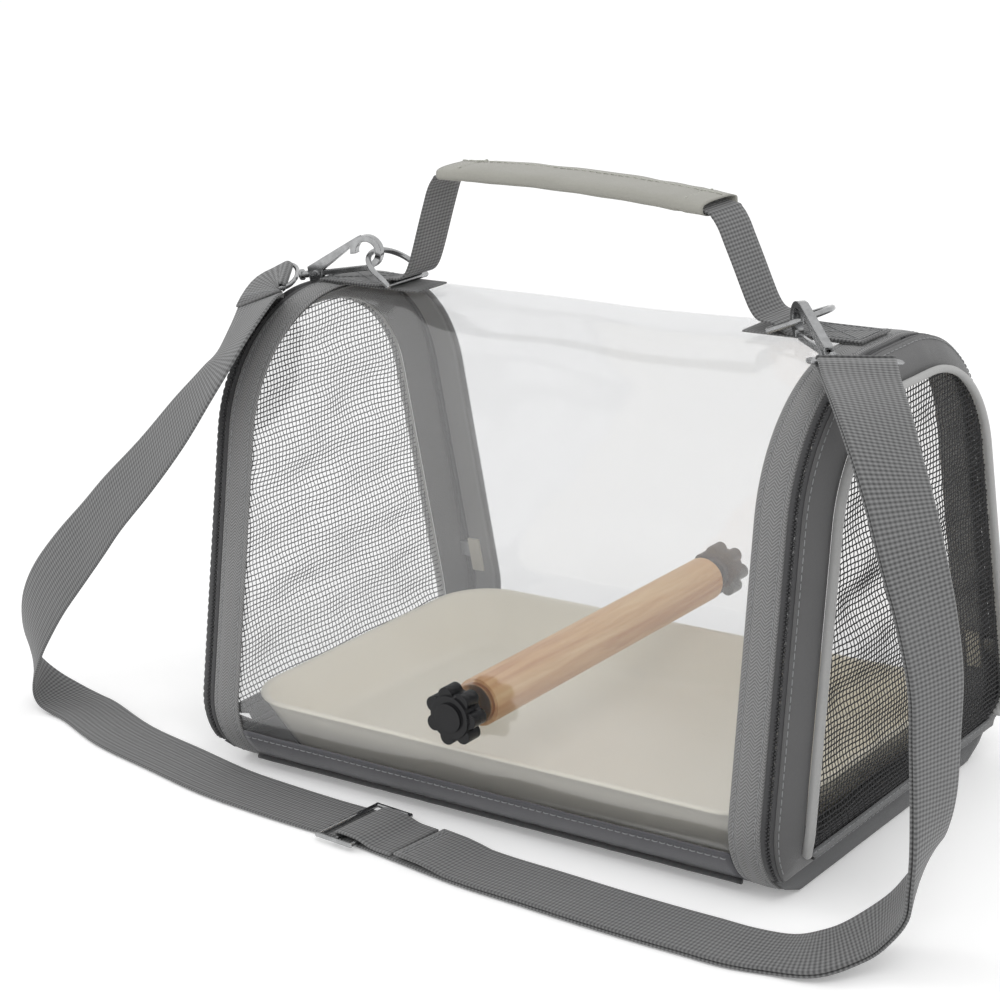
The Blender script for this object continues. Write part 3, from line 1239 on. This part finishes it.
def sleeve():
    half, steps, around = GRIP_HALF, 72, 44
    thick = 4.4
    rows = []
    for i in range(steps + 1):
        x = -half + 2 * half * i / steps
        mid = grip_mid(x)
        end = min(1.0, (half - abs(x)) / 14)
        w = 17.0 + 0.35 * math.sin(x * 0.11)
        h = thick * (0.86 + 0.14 * ease(end))
        row = []
        for k in range(around):
            a = 2 * math.pi * k / around
            c, s = math.cos(a), math.sin(a)
            y = w * math.copysign(abs(c) ** 0.62, c)
            z = h * math.copysign(abs(s) ** 0.55, s)
            wr = ripple(x, y, z * 3, 0.07, 0.7) * ease(end + 0.3)
            seam = math.exp(-((y - 3.5) / 1.1) ** 2) * 0.85 if s > 0 else math.exp(-(y / 1.0) ** 2) * 0.6
            cross = math.exp(-((abs(x) - (half - 15)) / 1.2) ** 2) * 0.7
            d = seam + cross
            z2 = z - math.copysign(d, s) + wr * (0.8 if s > 0 else 0.5)
            row.append((x, y - math.copysign(cross * 0.5, c), mid + max(-thick, min(thick, z2))))
        rows.append(row)

    def inner(x, scale, drop):
        mid = grip_mid(x)
        return [(x, 15.9 * scale * math.copysign(abs(math.cos(2 * math.pi * k / around)) ** 0.62,
                                               math.cos(2 * math.pi * k / around)),
                 mid + 3.1 * drop * math.copysign(abs(math.sin(2 * math.pi * k / around)) ** 0.55,
                                                math.sin(2 * math.pi * k / around))) for k in range(around)]
    rows = [inner(-half + 13, 0.9, 0.7), inner(-half + 6, 0.98, 0.95), inner(-half + 0.6, 1.0, 1.0)] + rows
    rows += [inner(half - 0.6, 1.0, 1.0), inner(half - 6, 0.98, 0.95), inner(half - 13, 0.9, 0.7)]
    obj = sweep_profile("grip_cover", rows, False, flip=True)
    finish_piece(obj, M_GRIP, "handle", ("grip_sleeve",))
    bag = Bag()
    top = [(x, 3.5 + 2.2 * e, grip_mid(x) + thick - 0.15) for e in (1,)
           for x in [-half + 2 * half * i / 80 for i in range(81)]]
    stitches(top, [(0, 0, 1)] * 81, None, 3.0, 1.6, 0.28, 0.25, bag)
    for e in (-1, 1):
        x = e * (half - 12.6)
        z = grip_mid(x) + thick - 0.55
        pts = [(x, -14.5 + 29 * i / 16, z - 0.012 * ((-14.5 + 29 * i / 16) ** 2) * 0.12) for i in range(17)]
        stitches(pts, [(0, 0, 1)] * 17, None, 2.6, 1.4, 0.28, 0.3, bag)
    finish_piece(bag.done("grip_thread"), M_THREAD_GRIP, "handle")


M_BASE = woven("base_cloth_mat", (0.085, 0.085, 0.095), pitch=0.8, contrast=0.2, rough=0.5, bump=0.2)
M_BASE_DARK = woven("base_welt_cloth", (0.05, 0.05, 0.052), pitch=0.8, contrast=0.2, rough=0.6)

for word, side in LEFT_RIGHT:
    rim(word, side)
    zip_side(word, side)
    gusset(word, side)
    net = mesh_panel(word, side)
    hem(word, side)
    sill(word, side)
    fold_strip(word, side)
base_cover()
window()
tray()
handle()
sleeve()

# ------------------------------------------------------------------ materials of the carried-over parts
CAD_MATERIALS = {
    "base_board": M_BOARD, "zip_slider_left": M_ZMETAL, "zip_slider_right": M_ZMETAL, "zip_pull_left": M_ZMETAL,
    "zip_pull_right": M_ZMETAL, "zip_end_left": M_TAB, "zip_end_right": M_TAB, "perch": M_WOOD,
    "ferrule_front": M_BRASS, "ferrule_back": M_BRASS, "washer_front": M_RUBBER, "washer_back": M_RUBBER,
    "perch_screw_front": M_STEEL, "perch_screw_back": M_STEEL, "knob_front": M_KNOB, "knob_back": M_KNOB,
    "d_ring_left": M_STEEL, "d_ring_right": M_STEEL, "hook_left": M_STEEL, "hook_right": M_STEEL,
    "gate_left": M_STEEL, "gate_right": M_STEEL, "rivet_left": M_STEEL, "rivet_right": M_STEEL,
    "eye_left": M_STEEL, "eye_right": M_STEEL, "strap_buckle": M_STEEL}
for name, m in CAD_MATERIALS.items():
    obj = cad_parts[name]
    obj.data.materials.clear()
    obj.data.materials.append(m)

# ------------------------------------------------------------------ floor, world and lamps
floor_me = bpy.data.meshes.new("floor")
floor_me.from_pydata([(-8, -8, 0), (8, -8, 0), (8, 8, 0), (-8, 8, 0)], [], [(0, 1, 2, 3)])
floor = link(bpy.data.objects.new("floor", floor_me))
m, nt, out = mat("floor_white")
b = node(nt, "ShaderNodeBsdfDiffuse")
b.inputs["Color"].default_value = (0.90, 0.90, 0.90, 1)
glow = node(nt, "ShaderNodeEmission")
lp = node(nt, "ShaderNodeLightPath")
seen_floor = math_node(nt, "MAXIMUM", lp.outputs["Is Camera Ray"], lp.outputs["Is Glossy Ray"])
nt.links.new(math_node(nt, "MULTIPLY", seen_floor, 0.22), glow.inputs["Strength"])
both = node(nt, "ShaderNodeAddShader")
nt.links.new(b.outputs[0], both.inputs[0])
nt.links.new(glow.outputs[0], both.inputs[1])
nt.links.new(both.outputs[0], out.inputs["Surface"])
floor_me.materials.append(m)
floor.location.z = -0.0006

world = bpy.data.worlds.new("white")
bpy.context.scene.world = world
world.use_nodes = True
nt = world.node_tree
nt.nodes.clear()
wout = nt.nodes.new("ShaderNodeOutputWorld")
plain = node(nt, "ShaderNodeBackground")
plain.inputs["Color"].default_value = (1, 1, 1, 1)
plain.inputs["Strength"].default_value = 0.88
seen = node(nt, "ShaderNodeBackground")
seen.inputs["Color"].default_value = (1, 1, 1, 1)
seen.inputs["Strength"].default_value = 1.0
lp = node(nt, "ShaderNodeLightPath")
either = math_node(nt, "MAXIMUM", math_node(nt, "MAXIMUM", lp.outputs["Is Camera Ray"],
                                            lp.outputs["Is Glossy Ray"]), lp.outputs["Is Transmission Ray"])
mix = node(nt, "ShaderNodeMixShader")
nt.links.new(either, mix.inputs[0])
nt.links.new(plain.outputs[0], mix.inputs[1])
nt.links.new(seen.outputs[0], mix.inputs[2])
nt.links.new(mix.outputs[0], wout.inputs["Surface"])


def lamp(name, at, size, power, aim=(0, 0, 0.1)):
    data = bpy.data.lights.new(name, "AREA")
    data.shape = "DISK"
    data.size = size
    data.energy = power
    obj = link(bpy.data.objects.new(name, data))
    at = Vector(at)
    obj.location = at
    obj.rotation_euler = (Vector(aim) - at).to_track_quat("-Z", "Y").to_euler()
    obj.visible_glossy = False


lamp("key", (1.3, -1.3, 2.2), 1.2, 14)
lamp("fill", (-1.6, -0.9, 1.6), 1.0, 5)
bpy.context.scene.view_settings.view_transform = "Standard"
